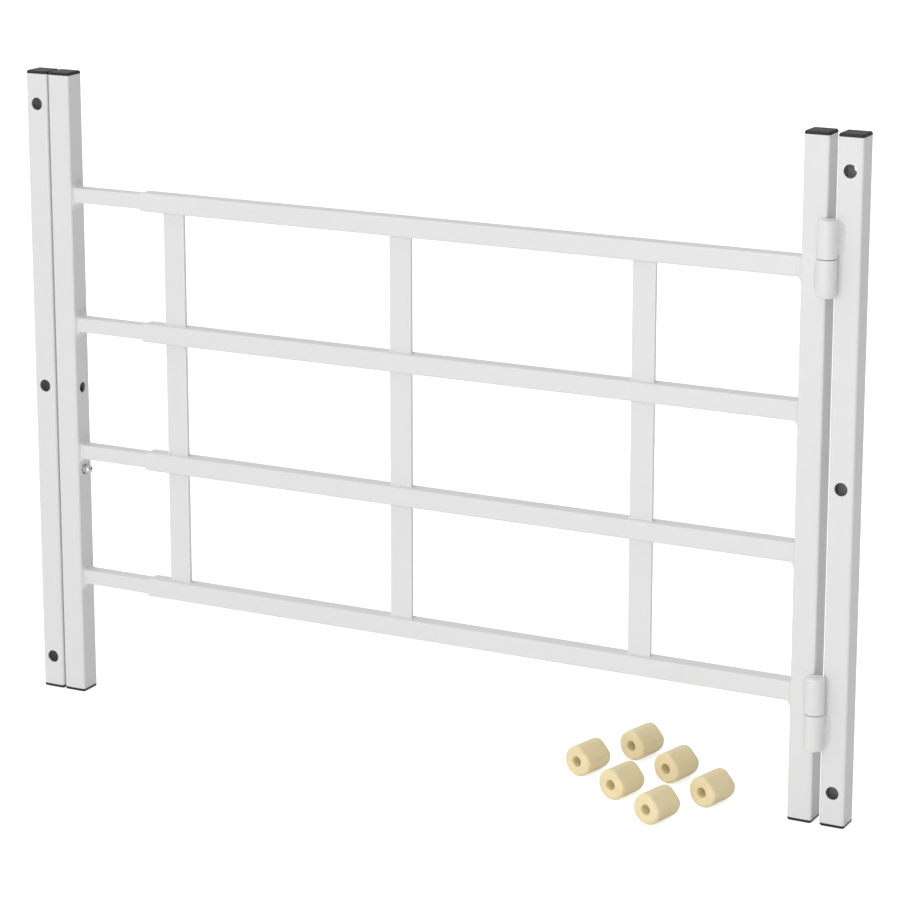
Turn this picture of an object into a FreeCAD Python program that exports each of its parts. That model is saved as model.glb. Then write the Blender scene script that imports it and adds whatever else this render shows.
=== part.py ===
import FreeCAD, Part
import math
import os
import Sketcher

# A swing-open, telescoping four-bar window guard.
# Frame: X runs along the guard to the right, Y runs from the room to the wall, Z is up.
# The origin is the middle of the right jamb's back face, which lies against the window frame.

SIZES = {
    # the four square posts, their end caps and their screw holes
    "guard_height": 552.0,
    "post_size": 20.6,
    "post_wall": 1.4,
    "post_corner": 2.2,
    "cap_head": 2.6,
    "cap_edge": 0.9,
    "cap_plug": 12.0,
    "cap_plug_wall": 1.6,
    "cap_plug_play": 0.1,
    "screw_spacing": 247.5,
    "screw_head_hole": 5.4,
    "screw_shank_hole": 4.0,
    # the gaps between the posts
    "hinge_gap": 6.8,
    "jamb_gap": 1.5,
    # the telescoping bars
    "bar_pitch": 113.5,
    "outer_bar": 15.9,
    "outer_wall": 1.2,
    "outer_corner": 1.8,
    "outer_length": 598.0,
    "inner_bar": 12.7,
    "inner_wall": 1.2,
    "inner_corner": 1.3,
    "inner_length": 575.0,
    "inner_reveal": 67.0,
    # the flat uprights between the outer bars
    "upright_wide": 20.0,
    "upright_thick": 3.0,
    "upright_edge": 0.5,
    "upright_first": 40.6,
    "upright_step": 217.1,
    # weld beads
    "outer_bead": 2.2,
    "inner_bead": 3.2,
    "upright_bead": 2.0,
    "gate_hinge_bead": 5.0,
    "jamb_hinge_bead": 3.4,
    # the two barrel hinges
    "knuckle_radius": 8.0,
    "knuckle_length": 29.7,
    "knuckle_gap": 0.6,
    "knuckle_round": 2.4,
    "knuckle_edge": 0.4,
    "knuckle_clear": 0.1,
    "hinge_from_middle": 181.0,
    "hinge_pin": 4.0,
    "hinge_pin_play": 0.05,
    "hinge_pin_half": 21.0,
    "hinge_pin_tip": 0.8,
    # the latch in the latch post
    "latch_drop": 73.5,
    "latch_hole": 4.6,
    "latch_strike_hole": 4.2,
    "latch_bolt": 3.5,
    "latch_bolt_play": 0.05,
    "latch_bolt_inset": 0.3,
    "latch_bolt_tip": 0.8,
    "latch_knob": 4.0,
    "latch_knob_inset": 1.3,
    "latch_knob_neck": 3.3,
    "latch_stud": 2.0,
    "latch_clip_outer": 6.0,
    "latch_clip_thick": 0.7,
    "latch_clip_groove": 2.8,
    "latch_travel": 6.0,
    "guide_sleeve": 5.0,
    "guide_flange": 6.4,
    "guide_flange_thick": 1.5,
    # the loose wall spacers
    "spacer_radius": 12.7,
    "spacer_length": 31.5,
    "spacer_hole": 4.2,
    "spacer_flat": 10.9,
    "spacer_round": 2.6,
    "spacer_lift": 45.0,
    "spacer_turn": -13.2,
    "spacer_first_x": -222.8,
    "spacer_first_y": 5.0,
    "spacer_along_x": 47.0,
    "spacer_along_y": -36.4,
    "spacer_across_x": 24.5,
    "spacer_across_y": 54.5,
}

BAR_NAMES = ("1", "2", "3", "4")
COLUMN_NAMES = ("left", "centre", "right")
GAP_NAMES = ("top", "middle", "bottom")
SPACERS_IN_ROW = 3
SPACER_ROWS = 2
STEPS = 6


class Size:
    """A length, as a number and as the formula that gives it from the sheet's cells."""

    def __init__(self, number, formula):
        self.number = number
        self.formula = formula

    def __add__(self, other):
        other = as_size(other)
        return Size(self.number + other.number, "(%s + %s)" % (self.formula, other.formula))

    def __sub__(self, other):
        other = as_size(other)
        return Size(self.number - other.number, "(%s - %s)" % (self.formula, other.formula))

    def __mul__(self, factor):
        return Size(self.number * factor, "(%s * %r)" % (self.formula, float(factor)))

    def __truediv__(self, factor):
        return Size(self.number / factor, "(%s / %r)" % (self.formula, float(factor)))

    def __neg__(self):
        return self * -1

    __rmul__ = __mul__


def as_size(value):
    """A plain number as a Size with itself as its formula."""
    if isinstance(value, Size):
        return value
    return Size(float(value), "%r" % float(value))


def cell(name):
    """The Size held in one cell of the sheet."""
    return Size(SIZES[name], "Sizes.%s" % name)


doc = FreeCAD.newDocument("window_guard")
sheet = doc.addObject("Spreadsheet::Sheet", "Sizes")
for row, (alias, value) in enumerate(SIZES.items(), start=1):
    sheet.set("A%d" % row, alias)
    sheet.set("B%d" % row, "%r" % value)
    sheet.setAlias("B%d" % row, alias)
doc.recompute()

nodes = []

# ---------------------------------------------------------------- derived places

post = cell("post_size")
half_post = post / 2
tube_length = cell("guard_height") - 2 * cell("cap_head")
half_tube = tube_length / 2
post_inside = post - 2 * cell("post_wall")

post_y = -half_post
right_jamb_x = as_size(0)
hinge_post_x = -(post + cell("hinge_gap"))
outer_right = hinge_post_x - half_post
outer_left = outer_right - cell("outer_length")
latch_post_x = outer_left - cell("inner_reveal") - half_post
inner_left = latch_post_x + half_post
left_jamb_x = latch_post_x - post - cell("jamb_gap")

hinge_x = -(half_post + cell("hinge_gap") / 2)
hinge_y = -(post + cell("knuckle_radius") + cell("knuckle_clear"))
floor_z = -(cell("guard_height") / 2)
bar_z = [cell("bar_pitch") * (1.5 - index) for index in range(len(BAR_NAMES))]


# ---------------------------------------------------------------- sketch helpers

def origin_plane(body, role):
    """One of a body's own origin planes."""
    return next(plane for plane in body.Origin.OriginFeatures if plane.Role == role)


def new_body(label):
    """An empty body that will be written out under its label."""
    body = doc.addObject("PartDesign::Body", label)
    body.Label = label
    nodes.append(body)
    return body


def new_sketch(body, role, lift=None):
    """A sketch on one of the body's origin planes, raised along the plane's normal."""
    sketch = body.newObject("Sketcher::SketchObject", body.Label + "_sketch")
    sketch.AttachmentSupport = [(origin_plane(body, role), "")]
    sketch.MapMode = "FlatFace"
    if lift is not None:
        sketch.setExpression(".AttachmentOffset.Base.z", lift.formula)
    return sketch


def constrain(sketch, kind, *rest):
    """One constraint; a Size as its last value is bound to the sheet."""
    size = rest[-1]
    if not isinstance(size, Size):
        return sketch.addConstraint(Sketcher.Constraint(kind, *rest))
    index = sketch.addConstraint(Sketcher.Constraint(kind, *rest[:-1], size.number))
    sketch.setExpression("Constraints[%d]" % index, size.formula)
    return index


def rounded_rectangle(sketch, wide, high, corner):
    """A rectangle with round corners about the sketch's origin: four lines joined by four arcs."""
    x, y, r = wide.number / 2, high.number / 2, corner.number
    corners = [(x - r, -y + r, -90), (x - r, y - r, 0), (-x + r, y - r, 90), (-x + r, -y + r, 180)]
    starts = [(-x + r, -y), (x, -y + r), (x - r, y), (-x, y - r)]
    ends = [(x - r, -y), (x, y - r), (-x + r, y), (-x, -y + r)]
    lines = []
    arcs = []
    for start, end, (cx, cy, turn) in zip(starts, ends, corners):
        edge = Part.LineSegment(FreeCAD.Vector(*start, 0), FreeCAD.Vector(*end, 0))
        lines.append(sketch.addGeometry(edge, False))
        circle = Part.Circle(FreeCAD.Vector(cx, cy, 0), FreeCAD.Vector(0, 0, 1), r)
        arc = Part.ArcOfCircle(circle, math.radians(turn), math.radians(turn + 90))
        arcs.append(sketch.addGeometry(arc, False))
    for index in range(4):
        constrain(sketch, "Tangent", lines[index], 2, arcs[index], 1)
        constrain(sketch, "Tangent", arcs[index], 2, lines[(index + 1) % 4], 1)
    for index in (0, 2):
        constrain(sketch, "Horizontal", lines[index])
        constrain(sketch, "Vertical", lines[index + 1])
    for index in range(3):
        constrain(sketch, "Equal", arcs[index], arcs[index + 1])
    constrain(sketch, "Radius", arcs[0], corner)
    constrain(sketch, "DistanceX", -1, 1, lines[1], 1, wide / 2)
    constrain(sketch, "DistanceX", lines[3], 1, -1, 1, wide / 2)
    constrain(sketch, "DistanceY", -1, 1, lines[2], 1, high / 2)
    constrain(sketch, "DistanceY", lines[0], 1, -1, 1, high / 2)


def circle(sketch, radius, up=None):
    """A circle on the sketch's vertical axis, at a signed height above its origin."""
    height = up.number if up is not None else 0.0
    shape = Part.Circle(FreeCAD.Vector(0, height, 0), FreeCAD.Vector(0, 0, 1), radius.number)
    index = sketch.addGeometry(shape, False)
    constrain(sketch, "Radius", index, radius)
    if up is None:
        constrain(sketch, "Coincident", index, 3, -1, 1)
        return
    constrain(sketch, "PointOnObject", index, 3, -2)
    if height > 0:
        constrain(sketch, "DistanceY", -1, 1, index, 3, up)
    else:
        constrain(sketch, "DistanceY", index, 3, -1, 1, -up)


def profile(sketch, points):
    """A closed outline of straight lines through points given as pairs of Sizes."""
    spots = [FreeCAD.Vector(x.number, y.number, 0) for x, y in points]
    count = len(spots)
    lines = []
    for index in range(count):
        edge = Part.LineSegment(spots[index], spots[(index + 1) % count])
        lines.append(sketch.addGeometry(edge, False))
    for index in range(count):
        constrain(sketch, "Coincident", lines[index], 2, lines[(index + 1) % count], 1)
    for line, (x, y) in zip(lines, points):
        place_coordinate(sketch, line, "DistanceX", -2, x)
        place_coordinate(sketch, line, "DistanceY", -1, y)


def place_coordinate(sketch, line, kind, axis, size):
    """Fixes one coordinate of a line's first point; a zero lies on the axis."""
    if abs(size.number) < 1e-9:
        constrain(sketch, "PointOnObject", line, 1, axis)
    elif size.number > 0:
        constrain(sketch, kind, -1, 1, line, 1, size)
    else:
        constrain(sketch, kind, line, 1, -1, 1, -size)


# ---------------------------------------------------------------- feature helpers

def pad(body, sketch, length, symmetric=False, backwards=False):
    """Material added along the sketch's normal."""
    feature = body.newObject("PartDesign::Pad", body.Label + "_pad")
    feature.Profile = sketch
    feature.setExpression("Length", length.formula)
    feature.SideType = "Symmetric" if symmetric else "One side"
    feature.Reversed = backwards
    doc.recompute()
    return feature


def pocket(body, sketch, length=None, backwards=False):
    """Material taken away, against the sketch's normal or, backwards, along it."""
    before = body.Shape.Volume
    feature = body.newObject("PartDesign::Pocket", body.Label + "_pocket")
    feature.Profile = sketch
    if length is None:
        feature.Type = "ThroughAll"
    else:
        feature.setExpression("Length", length.formula)
    feature.Reversed = backwards
    doc.recompute()
    if body.Shape.Volume > before - 0.5:
        raise RuntimeError("%s: a pocket cut nothing" % body.Label)
    return feature


def revolve(body, sketch, axis):
    """Material turned a full circle about the sketch's horizontal or vertical axis."""
    feature = body.newObject("PartDesign::Revolution", body.Label + "_turn")
    feature.Profile = sketch
    feature.ReferenceAxis = (sketch, [axis])
    feature.Angle = 360
    doc.recompute()
    return feature


def edges_where(shape, test):
    """Names of the edges whose middle point passes the test."""
    names = []
    for index, edge in enumerate(shape.Edges, start=1):
        middle = edge.valueAt((edge.FirstParameter + edge.LastParameter) / 2)
        if test(edge, middle):
            names.append("Edge%d" % index)
    return names


def dress(body, kind, names, size):
    """A fillet or a chamfer on named edges of the body's last feature."""
    base = body.Tip
    feature = body.newObject("PartDesign::" + kind, body.Label + "_" + kind.lower())
    feature.Base = (base, names)
    feature.setExpression("Radius" if kind == "Fillet" else "Size", size.formula)
    doc.recompute()
    return feature


def place(item, x, y, z, turn=0.0, axis=(0, 0, 1)):
    """Puts a sub-part at its place, turned about an axis through its own origin."""
    rotation = FreeCAD.Rotation(FreeCAD.Vector(*axis), turn)
    item.Placement = FreeCAD.Placement(FreeCAD.Vector(x.number, y.number, z.number), rotation)
    for name, size in (("x", x), ("y", y), ("z", z)):
        item.setExpression(".Placement.Base." + name, size.formula)


def shaped(label, shape):
    """A sub-part whose shape is worked out from the sheet in code."""
    item = doc.addObject("Part::Feature", label)
    item.Label = label
    item.Shape = shape
    nodes.append(item)
    return item


# ---------------------------------------------------------------- posts and caps

def square_tube(label, role, outside, wall, corner, length):
    """A round-cornered square tube, centred on its own origin and square to one plane."""
    body = new_body(label)
    sketch = new_sketch(body, role)
    inside = outside - 2 * wall
    rounded_rectangle(sketch, outside, outside, corner)
    rounded_rectangle(sketch, inside, inside, corner - wall)
    pad(body, sketch, length, symmetric=True)
    return body


def post_tube(label, x):
    """One of the four upright posts."""
    body = square_tube(label, "XY_Plane", post, cell("post_wall"), cell("post_corner"), tube_length)
    place(body, x, post_y, as_size(0))
    return body


def drill_jamb(body):
    """Three screw holes: wide in the room-side wall for the head, narrow in the back wall."""
    for radius, backwards in (("screw_head_hole", True), ("screw_shank_hole", False)):
        sketch = new_sketch(body, "XZ_Plane")
        circle(sketch, cell(radius))
        circle(sketch, cell(radius), cell("screw_spacing"))
        circle(sketch, cell(radius), -cell("screw_spacing"))
        pocket(body, sketch, backwards=backwards)


def drill_side(body, radius, towards_right, heights):
    """Round holes in the right or the left wall of a post, at signed heights or the middle."""
    sketch = new_sketch(body, "YZ_Plane")
    for height in heights:
        circle(sketch, radius, height)
    pocket(body, sketch, backwards=towards_right)


def end_cap(label, x, top):
    """A plastic end cap: a chamfered head the size of the post on a hollow plug."""
    body = new_body(label)
    head = new_sketch(body, "XY_Plane")
    rounded_rectangle(head, post, post, cell("post_corner"))
    pad(body, head, cell("cap_head"))
    rim = edges_where(body.Shape, lambda edge, middle: middle.z > SIZES["cap_head"] - 0.01)
    dress(body, "Chamfer", rim, cell("cap_edge"))
    plug = new_sketch(body, "XY_Plane")
    outside = post_inside - 2 * cell("cap_plug_play")
    inside = outside - 2 * cell("cap_plug_wall")
    rounded_rectangle(plug, outside, outside, cell("post_corner") - cell("post_wall"))
    rounded_rectangle(plug, inside, inside, cell("post_corner") - cell("post_wall"))
    pad(body, plug, cell("cap_plug"), backwards=True)
    if top:
        place(body, x, post_y, half_tube)
    else:
        place(body, x, post_y, -half_tube, turn=180.0, axis=(1, 0, 0))


right_jamb_post = post_tube("right_jamb_post", right_jamb_x)
drill_jamb(right_jamb_post)
hinge_post = post_tube("hinge_post", hinge_post_x)
latch_post = post_tube("latch_post", latch_post_x)
drill_side(latch_post, cell("latch_hole"), True, (None, -cell("latch_drop")))
drill_side(latch_post, cell("latch_hole"), False, (-cell("latch_drop"),))
left_jamb_post = post_tube("left_jamb_post", left_jamb_x)
drill_jamb(left_jamb_post)
drill_side(left_jamb_post, cell("latch_strike_hole"), True, (-cell("latch_drop"),))

POSTS = (
    ("right_jamb", right_jamb_x),
    ("hinge_post", hinge_post_x),
    ("latch_post", latch_post_x),
    ("left_jamb", left_jamb_x),
)
for name, x in POSTS:
    end_cap(name + "_cap_top", x, top=True)
    end_cap(name + "_cap_bottom", x, top=False)


# ---------------------------------------------------------------- bars and uprights

inner_centre = inner_left + cell("inner_length") / 2
outer_centre = outer_left + cell("outer_length") / 2
for name, z in zip(BAR_NAMES, bar_z):
    outer = square_tube(
        "outer_bar_" + name, "YZ_Plane",
        cell("outer_bar"), cell("outer_wall"), cell("outer_corner"), cell("outer_length"),
    )
    place(outer, outer_centre, post_y, z)
    inner = square_tube(
        "inner_bar_" + name, "YZ_Plane",
        cell("inner_bar"), cell("inner_wall"), cell("inner_corner"), cell("inner_length"),
    )
    place(inner, inner_centre, post_y, z)

upright_x = [outer_left + cell("upright_first") - half_post + cell("upright_step") * column
             for column in range(len(COLUMN_NAMES))]
upright_z = [cell("bar_pitch") * (1 - gap) for gap in range(len(GAP_NAMES))]
upright_length = cell("bar_pitch") - cell("outer_bar")


def upright(label, x, z):
    """A flat strip cut to fit between two bars, with its long edges slightly rounded."""
    body = new_body(label)
    sketch = new_sketch(body, "XY_Plane")
    rounded_rectangle(sketch, cell("upright_wide"), cell("upright_thick"), cell("upright_edge"))
    pad(body, sketch, upright_length, symmetric=True)
    place(body, x, post_y, z)


for column, x in zip(COLUMN_NAMES, upright_x):
    for gap, z in zip(GAP_NAMES, upright_z):
        upright("upright_%s_%s" % (column, gap), x, z)


# ---------------------------------------------------------------- barrel hinges

def knuckle(label, bore, z, outer_end_up):
    """Half a barrel hinge: a turned barrel with a blind bore and a rounded outer end."""
    body = new_body(label)
    barrel = new_sketch(body, "XY_Plane")
    circle(barrel, cell("knuckle_radius"))
    pad(body, barrel, cell("knuckle_length"))
    far = SIZES["knuckle_length"]
    rim = edges_where(body.Shape, lambda edge, middle: middle.z > far - 0.01)
    dress(body, "Fillet", rim, cell("knuckle_round"))
    mouth = edges_where(body.Shape, lambda edge, middle: middle.z < 0.01)
    dress(body, "Chamfer", mouth, cell("knuckle_edge"))
    hole = new_sketch(body, "XY_Plane")
    circle(hole, bore)
    pocket(body, hole, cell("hinge_pin_half") + cell("hinge_pin_tip"), backwards=True)
    half_gap = cell("knuckle_gap") / 2
    if outer_end_up:
        place(body, hinge_x, hinge_y, z + half_gap)
    else:
        place(body, hinge_x, hinge_y, z - half_gap, turn=180.0, axis=(1, 0, 0))


def hinge_pin(label, z):
    """A pin pressed into the jamb's knuckle and turning in the gate's knuckle."""
    body = new_body(label)
    sketch = new_sketch(body, "XY_Plane")
    circle(sketch, cell("hinge_pin"))
    pad(body, sketch, cell("hinge_pin_half") * 2, symmetric=True)
    half = SIZES["hinge_pin_half"]
    ends = edges_where(body.Shape, lambda edge, middle: abs(middle.z) > half - 0.01)
    dress(body, "Chamfer", ends, cell("hinge_pin_tip"))
    place(body, hinge_x, hinge_y, z)


upper_hinge_z = cell("hinge_from_middle")
lower_hinge_z = -cell("hinge_from_middle")
tight_bore = cell("hinge_pin")
running_bore = cell("hinge_pin") + cell("hinge_pin_play")
knuckle("jamb_knuckle_upper", tight_bore, upper_hinge_z, outer_end_up=True)
knuckle("gate_knuckle_upper", running_bore, upper_hinge_z, outer_end_up=False)
knuckle("gate_knuckle_lower", running_bore, lower_hinge_z, outer_end_up=True)
knuckle("jamb_knuckle_lower", tight_bore, lower_hinge_z, outer_end_up=False)
hinge_pin("hinge_pin_upper", upper_hinge_z)
hinge_pin("hinge_pin_lower", lower_hinge_z)


# ---------------------------------------------------------------- latch

def turned(label, points, x):
    """A piece turned about the latch's axis, from (along, radius) points; x is its origin."""
    body = new_body(label)
    sketch = new_sketch(body, "XZ_Plane")
    profile(sketch, points)
    revolve(body, sketch, "H_Axis")
    place(body, x, post_y, -cell("latch_drop"))
    return body


zero = as_size(0)
inner_face = half_post - cell("post_wall")
bolt_start = -half_post + cell("latch_bolt_inset")
clip_end = inner_face - 0.1
clip_start = clip_end - cell("latch_clip_thick")
guide_end = clip_start - cell("latch_travel") - 0.1
knob_start = half_post - cell("latch_knob_inset")
knob_middle = half_post + cell("latch_knob_neck")
stud_end = knob_middle

bolt = cell("latch_bolt")
turned("latch_bolt", (
    (bolt_start, zero),
    (bolt_start, bolt - cell("latch_bolt_tip")),
    (bolt_start + cell("latch_bolt_tip"), bolt),
    (clip_start, bolt),
    (clip_start, cell("latch_clip_groove")),
    (clip_end, cell("latch_clip_groove")),
    (clip_end, bolt),
    (knob_start, bolt),
    (knob_start, cell("latch_stud")),
    (stud_end, cell("latch_stud")),
    (stud_end, zero),
), latch_post_x)

turned("latch_clip", (
    (clip_start, cell("latch_clip_groove")),
    (clip_end, cell("latch_clip_groove")),
    (clip_end, cell("latch_clip_outer")),
    (clip_start, cell("latch_clip_outer")),
), latch_post_x)

guide_bore = bolt + cell("latch_bolt_play")
guide_flange_end = -inner_face + cell("guide_flange_thick")
turned("latch_guide", (
    (-half_post, guide_bore),
    (-half_post, cell("latch_hole")),
    (-inner_face, cell("latch_hole")),
    (-inner_face, cell("guide_flange")),
    (guide_flange_end, cell("guide_flange")),
    (guide_flange_end, cell("guide_sleeve")),
    (guide_end, cell("guide_sleeve")),
    (guide_end, guide_bore),
), latch_post_x)


def latch_knob():
    """A domed knob: a short neck with a half-round end, bored for the bolt's stud."""
    body = new_body("latch_knob")
    neck = new_sketch(body, "YZ_Plane", lift=knob_start)
    circle(neck, cell("latch_knob"))
    pad(body, neck, knob_middle - knob_start + cell("latch_knob"))
    far = (knob_middle + cell("latch_knob")).number
    rim = edges_where(body.Shape, lambda edge, middle: middle.x > far - 0.01)
    dress(body, "Fillet", rim, cell("latch_knob") - 0.05)
    bore = new_sketch(body, "YZ_Plane", lift=knob_start)
    circle(bore, cell("latch_stud"))
    pocket(body, bore, stud_end - knob_start, backwards=True)
    place(body, latch_post_x, post_y, -cell("latch_drop"))


latch_knob()


# ---------------------------------------------------------------- loose wall spacers

def wall_spacer(label, x, y):
    """A plastic spacer: a round bar with one flat, a through hole and soft end edges."""
    body = new_body(label)
    section = new_sketch(body, "XZ_Plane")
    radius, flat = cell("spacer_radius"), cell("spacer_flat")
    half_chord = math.sqrt(radius.number ** 2 - flat.number ** 2)
    start = math.atan2(flat.number, -half_chord)
    stop = math.atan2(flat.number, half_chord) + 2 * math.pi
    round_side = Part.Circle(FreeCAD.Vector(0, 0, 0), FreeCAD.Vector(0, 0, 1), radius.number)
    arc = section.addGeometry(Part.ArcOfCircle(round_side, start, stop), False)
    left = FreeCAD.Vector(-half_chord, flat.number, 0)
    right = FreeCAD.Vector(half_chord, flat.number, 0)
    chord = section.addGeometry(Part.LineSegment(right, left), False)
    constrain(section, "Coincident", arc, 3, -1, 1)
    constrain(section, "Radius", arc, radius)
    constrain(section, "Coincident", arc, 2, chord, 1)
    constrain(section, "Coincident", chord, 2, arc, 1)
    constrain(section, "Horizontal", chord)
    constrain(section, "DistanceY", -1, 1, chord, 1, flat)
    pad(body, section, cell("spacer_length"), symmetric=True)
    half = SIZES["spacer_length"] / 2
    rims = edges_where(body.Shape, lambda edge, middle: abs(middle.y) > half - 0.01)
    dress(body, "Fillet", rims, cell("spacer_round"))
    hole = new_sketch(body, "XZ_Plane", lift=cell("spacer_length"))
    circle(hole, cell("spacer_hole"))
    pocket(body, hole)
    turn_flat = FreeCAD.Rotation(FreeCAD.Vector(0, 1, 0), SIZES["spacer_lift"])
    turn_axis = FreeCAD.Rotation(FreeCAD.Vector(0, 0, 1), SIZES["spacer_turn"])
    place(body, x, y, floor_z + radius)
    body.Placement.Rotation = turn_axis.multiply(turn_flat)


for row in range(SPACER_ROWS):
    for column in range(SPACERS_IN_ROW):
        spacer_x = cell("spacer_first_x") + cell("spacer_along_x") * column + cell("spacer_across_x") * row
        spacer_y = cell("spacer_first_y") + cell("spacer_along_y") * column + cell("spacer_across_y") * row
        wall_spacer("wall_spacer_%d" % (row * SPACERS_IN_ROW + column + 1), spacer_x, spacer_y)


# ---------------------------------------------------------------- weld beads

def rounded_wire(wide, high, corner, x):
    """A round-cornered rectangle standing square to X, for a loft."""
    y, z, r = wide / 2, high / 2, corner
    lean = r * (1 - math.sqrt(0.5))
    edges = []
    for sign_y, sign_z in ((1, -1), (1, 1), (-1, 1), (-1, -1)):
        flat_end = FreeCAD.Vector(x, sign_y * (y - r), sign_z * z)
        side_end = FreeCAD.Vector(x, sign_y * y, sign_z * (z - r))
        middle = FreeCAD.Vector(x, sign_y * (y - lean), sign_z * (z - lean))
        first, last = (flat_end, side_end) if sign_y * sign_z < 0 else (side_end, flat_end)
        edges.append(Part.Arc(first, middle, last).toShape())
    joined = []
    for index, edge in enumerate(edges):
        joined.append(edge)
        after = edges[(index + 1) % 4]
        joined.append(Part.LineSegment(edge.lastVertex().Point, after.firstVertex().Point).toShape())
    return Part.Wire(joined)


def fillet_ring(wide, high, corner, leg, root):
    """A hollow-sided weld bead round a bar that runs along +X from the plane x = 0.

    Its offset from the bar falls from leg at the plane to nothing at x = leg along a
    quarter circle, and it starts root below the plane, where the caller trims it.
    """
    wires = []
    if root > 0:
        wires.append(rounded_wire(wide + 2 * leg, high + 2 * leg, corner + leg, -root))
    for step in range(STEPS + 1):
        angle = math.pi / 2 * step / STEPS
        offset = leg * (1 - math.sin(angle))
        along = leg * (1 - math.cos(angle))
        wires.append(rounded_wire(wide + 2 * offset, high + 2 * offset, corner + offset, along))
    skin = Part.makeLoft(wires, True, True)
    bar = rounded_wire(wide, high, corner, -root - 1)
    core = Part.Face(bar).extrude(FreeCAD.Vector(leg + root + 2, 0, 0))
    return skin.cut(core)


def moved(shape, x, y, z, rotation=None):
    """A copy of a shape, turned and then carried to a place."""
    copy = shape.copy()
    copy.Placement = FreeCAD.Placement(FreeCAD.Vector(x, y, z), rotation or FreeCAD.Rotation())
    return copy


def post_envelope(x):
    """The solid outline of a post, for trimming a bead to its face."""
    section = rounded_wire(SIZES["post_size"], SIZES["post_size"], SIZES["post_corner"], 0)
    block = Part.Face(section).extrude(FreeCAD.Vector(SIZES["guard_height"], 0, 0))
    upright_turn = FreeCAD.Rotation(FreeCAD.Vector(0, 1, 0), -90)
    return moved(block, x, post_y.number, floor_z.number, upright_turn)


def bar_beads(label, wide, corner, leg, post_x, side):
    """Four beads where bars meet a post; side is +1 when the bars leave it to the right."""
    root = SIZES["post_corner"]
    ring = fillet_ring(wide, wide, corner, leg, root)
    facing = FreeCAD.Rotation(FreeCAD.Vector(0, 0, 1), 0 if side > 0 else 180)
    face_x = post_x + side * SIZES["post_size"] / 2
    trim = post_envelope(post_x)
    beads = [moved(ring, face_x, post_y.number, z.number, facing).cut(trim) for z in bar_z]
    shaped(label, Part.makeCompound([bead.Solids[0] for bead in beads]))


def upright_beads():
    """Beads at both ends of every upright, on the flat of the bars above and below it."""
    leg = SIZES["upright_bead"]
    ring = fillet_ring(SIZES["upright_thick"], SIZES["upright_wide"], SIZES["upright_edge"], leg, 0.0)
    to_z = FreeCAD.Rotation(FreeCAD.Vector(0, 1, 0), -90)
    half = upright_length.number / 2
    beads = []
    for x in upright_x:
        for z in upright_z:
            for side in (-1, 1):
                flip = FreeCAD.Rotation(FreeCAD.Vector(1, 0, 0), 0 if side < 0 else 180)
                aim = flip.multiply(to_z)
                beads.append(moved(ring, x.number, post_y.number, z.number + side * half, aim))
    shaped("upright_beads", Part.makeCompound([bead.Solids[0] for bead in beads]))


def hinge_bead(side, leg, low, high):
    """A bead that fills the corner between a knuckle and a post face, from low to high.

    Its section is the hollow triangle between the barrel, the post's face and a hollow
    arc that leaves the face at the bead's toe and meets the barrel at its widest point.
    """
    radius = SIZES["knuckle_radius"]
    x0, y0 = hinge_x.number, hinge_y.number
    face = -SIZES["post_size"]
    toe = FreeCAD.Vector(x0 + side * (radius + leg), face, 0)
    crest = FreeCAD.Vector(x0 + side * radius, y0, 0)
    hollow = FreeCAD.Vector(x0 + side * (radius + leg * 0.26), face - (face - y0) * 0.36, 0)
    inside = FreeCAD.Vector(x0 + side * radius / 2, y0, 0)
    root = FreeCAD.Vector(x0 + side * radius / 2, face + SIZES["post_corner"], 0)
    heel = FreeCAD.Vector(toe.x, root.y, 0)
    outline = Part.Wire([
        Part.Arc(toe, hollow, crest).toShape(),
        Part.LineSegment(crest, inside).toShape(),
        Part.LineSegment(inside, root).toShape(),
        Part.LineSegment(root, heel).toShape(),
        Part.LineSegment(heel, toe).toShape(),
    ])
    outline.translate(FreeCAD.Vector(0, 0, low))
    bead = Part.Face(outline).extrude(FreeCAD.Vector(0, 0, high - low))
    barrel_base = FreeCAD.Vector(x0, y0, low - 1)
    bead = bead.cut(Part.makeCylinder(radius, high - low + 2, barrel_base))
    post_x = hinge_post_x.number if side < 0 else right_jamb_x.number
    return bead.cut(post_envelope(post_x)).Solids[0]


def hinge_beads(label, side, leg, lengths):
    """One bead for each knuckle that is welded to the same post."""
    shaped(label, Part.makeCompound([hinge_bead(side, leg, low, high) for low, high in lengths]))


bar_beads("outer_bar_beads", SIZES["outer_bar"], SIZES["outer_corner"], SIZES["outer_bead"],
          hinge_post_x.number, -1)
bar_beads("inner_bar_beads", SIZES["inner_bar"], SIZES["inner_corner"], SIZES["inner_bead"],
          latch_post_x.number, 1)
upright_beads()

half_joint = SIZES["knuckle_gap"] / 2
bead_end = SIZES["knuckle_length"] - SIZES["knuckle_round"]
upper, lower = upper_hinge_z.number, lower_hinge_z.number
above = [half_joint + SIZES["knuckle_edge"], half_joint + bead_end]
hinge_beads("gate_hinge_beads", -1, SIZES["gate_hinge_bead"], (
    (upper - above[1], upper - above[0]),
    (lower + above[0], lower + above[1]),
))
hinge_beads("jamb_hinge_beads", 1, SIZES["jamb_hinge_bead"], (
    (upper + above[0], upper + above[1]),
    (lower - above[1], lower - above[0]),
))


# ---------------------------------------------------------------- checks and output

doc.recompute()
for item in doc.Objects:
    if "Invalid" in item.State or "Error" in item.State:
        raise RuntimeError("%s did not recompute: %s" % (item.Label, item.State))
os.makedirs("parts", exist_ok=True)
for old in os.listdir("parts"):
    os.remove(os.path.join("parts", old))
for item in nodes:
    if item.Shape.isNull() or not item.Shape.isValid():
        raise RuntimeError("%s has no valid shape" % item.Label)
    item.Shape.exportStep(os.path.join("parts", item.Label + ".step"))
    print("%-22s %2d solids %10.1f mm3" % (item.Label, len(item.Shape.Solids), item.Shape.Volume))
print(len(nodes), "sub-parts written")
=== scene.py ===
import math

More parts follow.
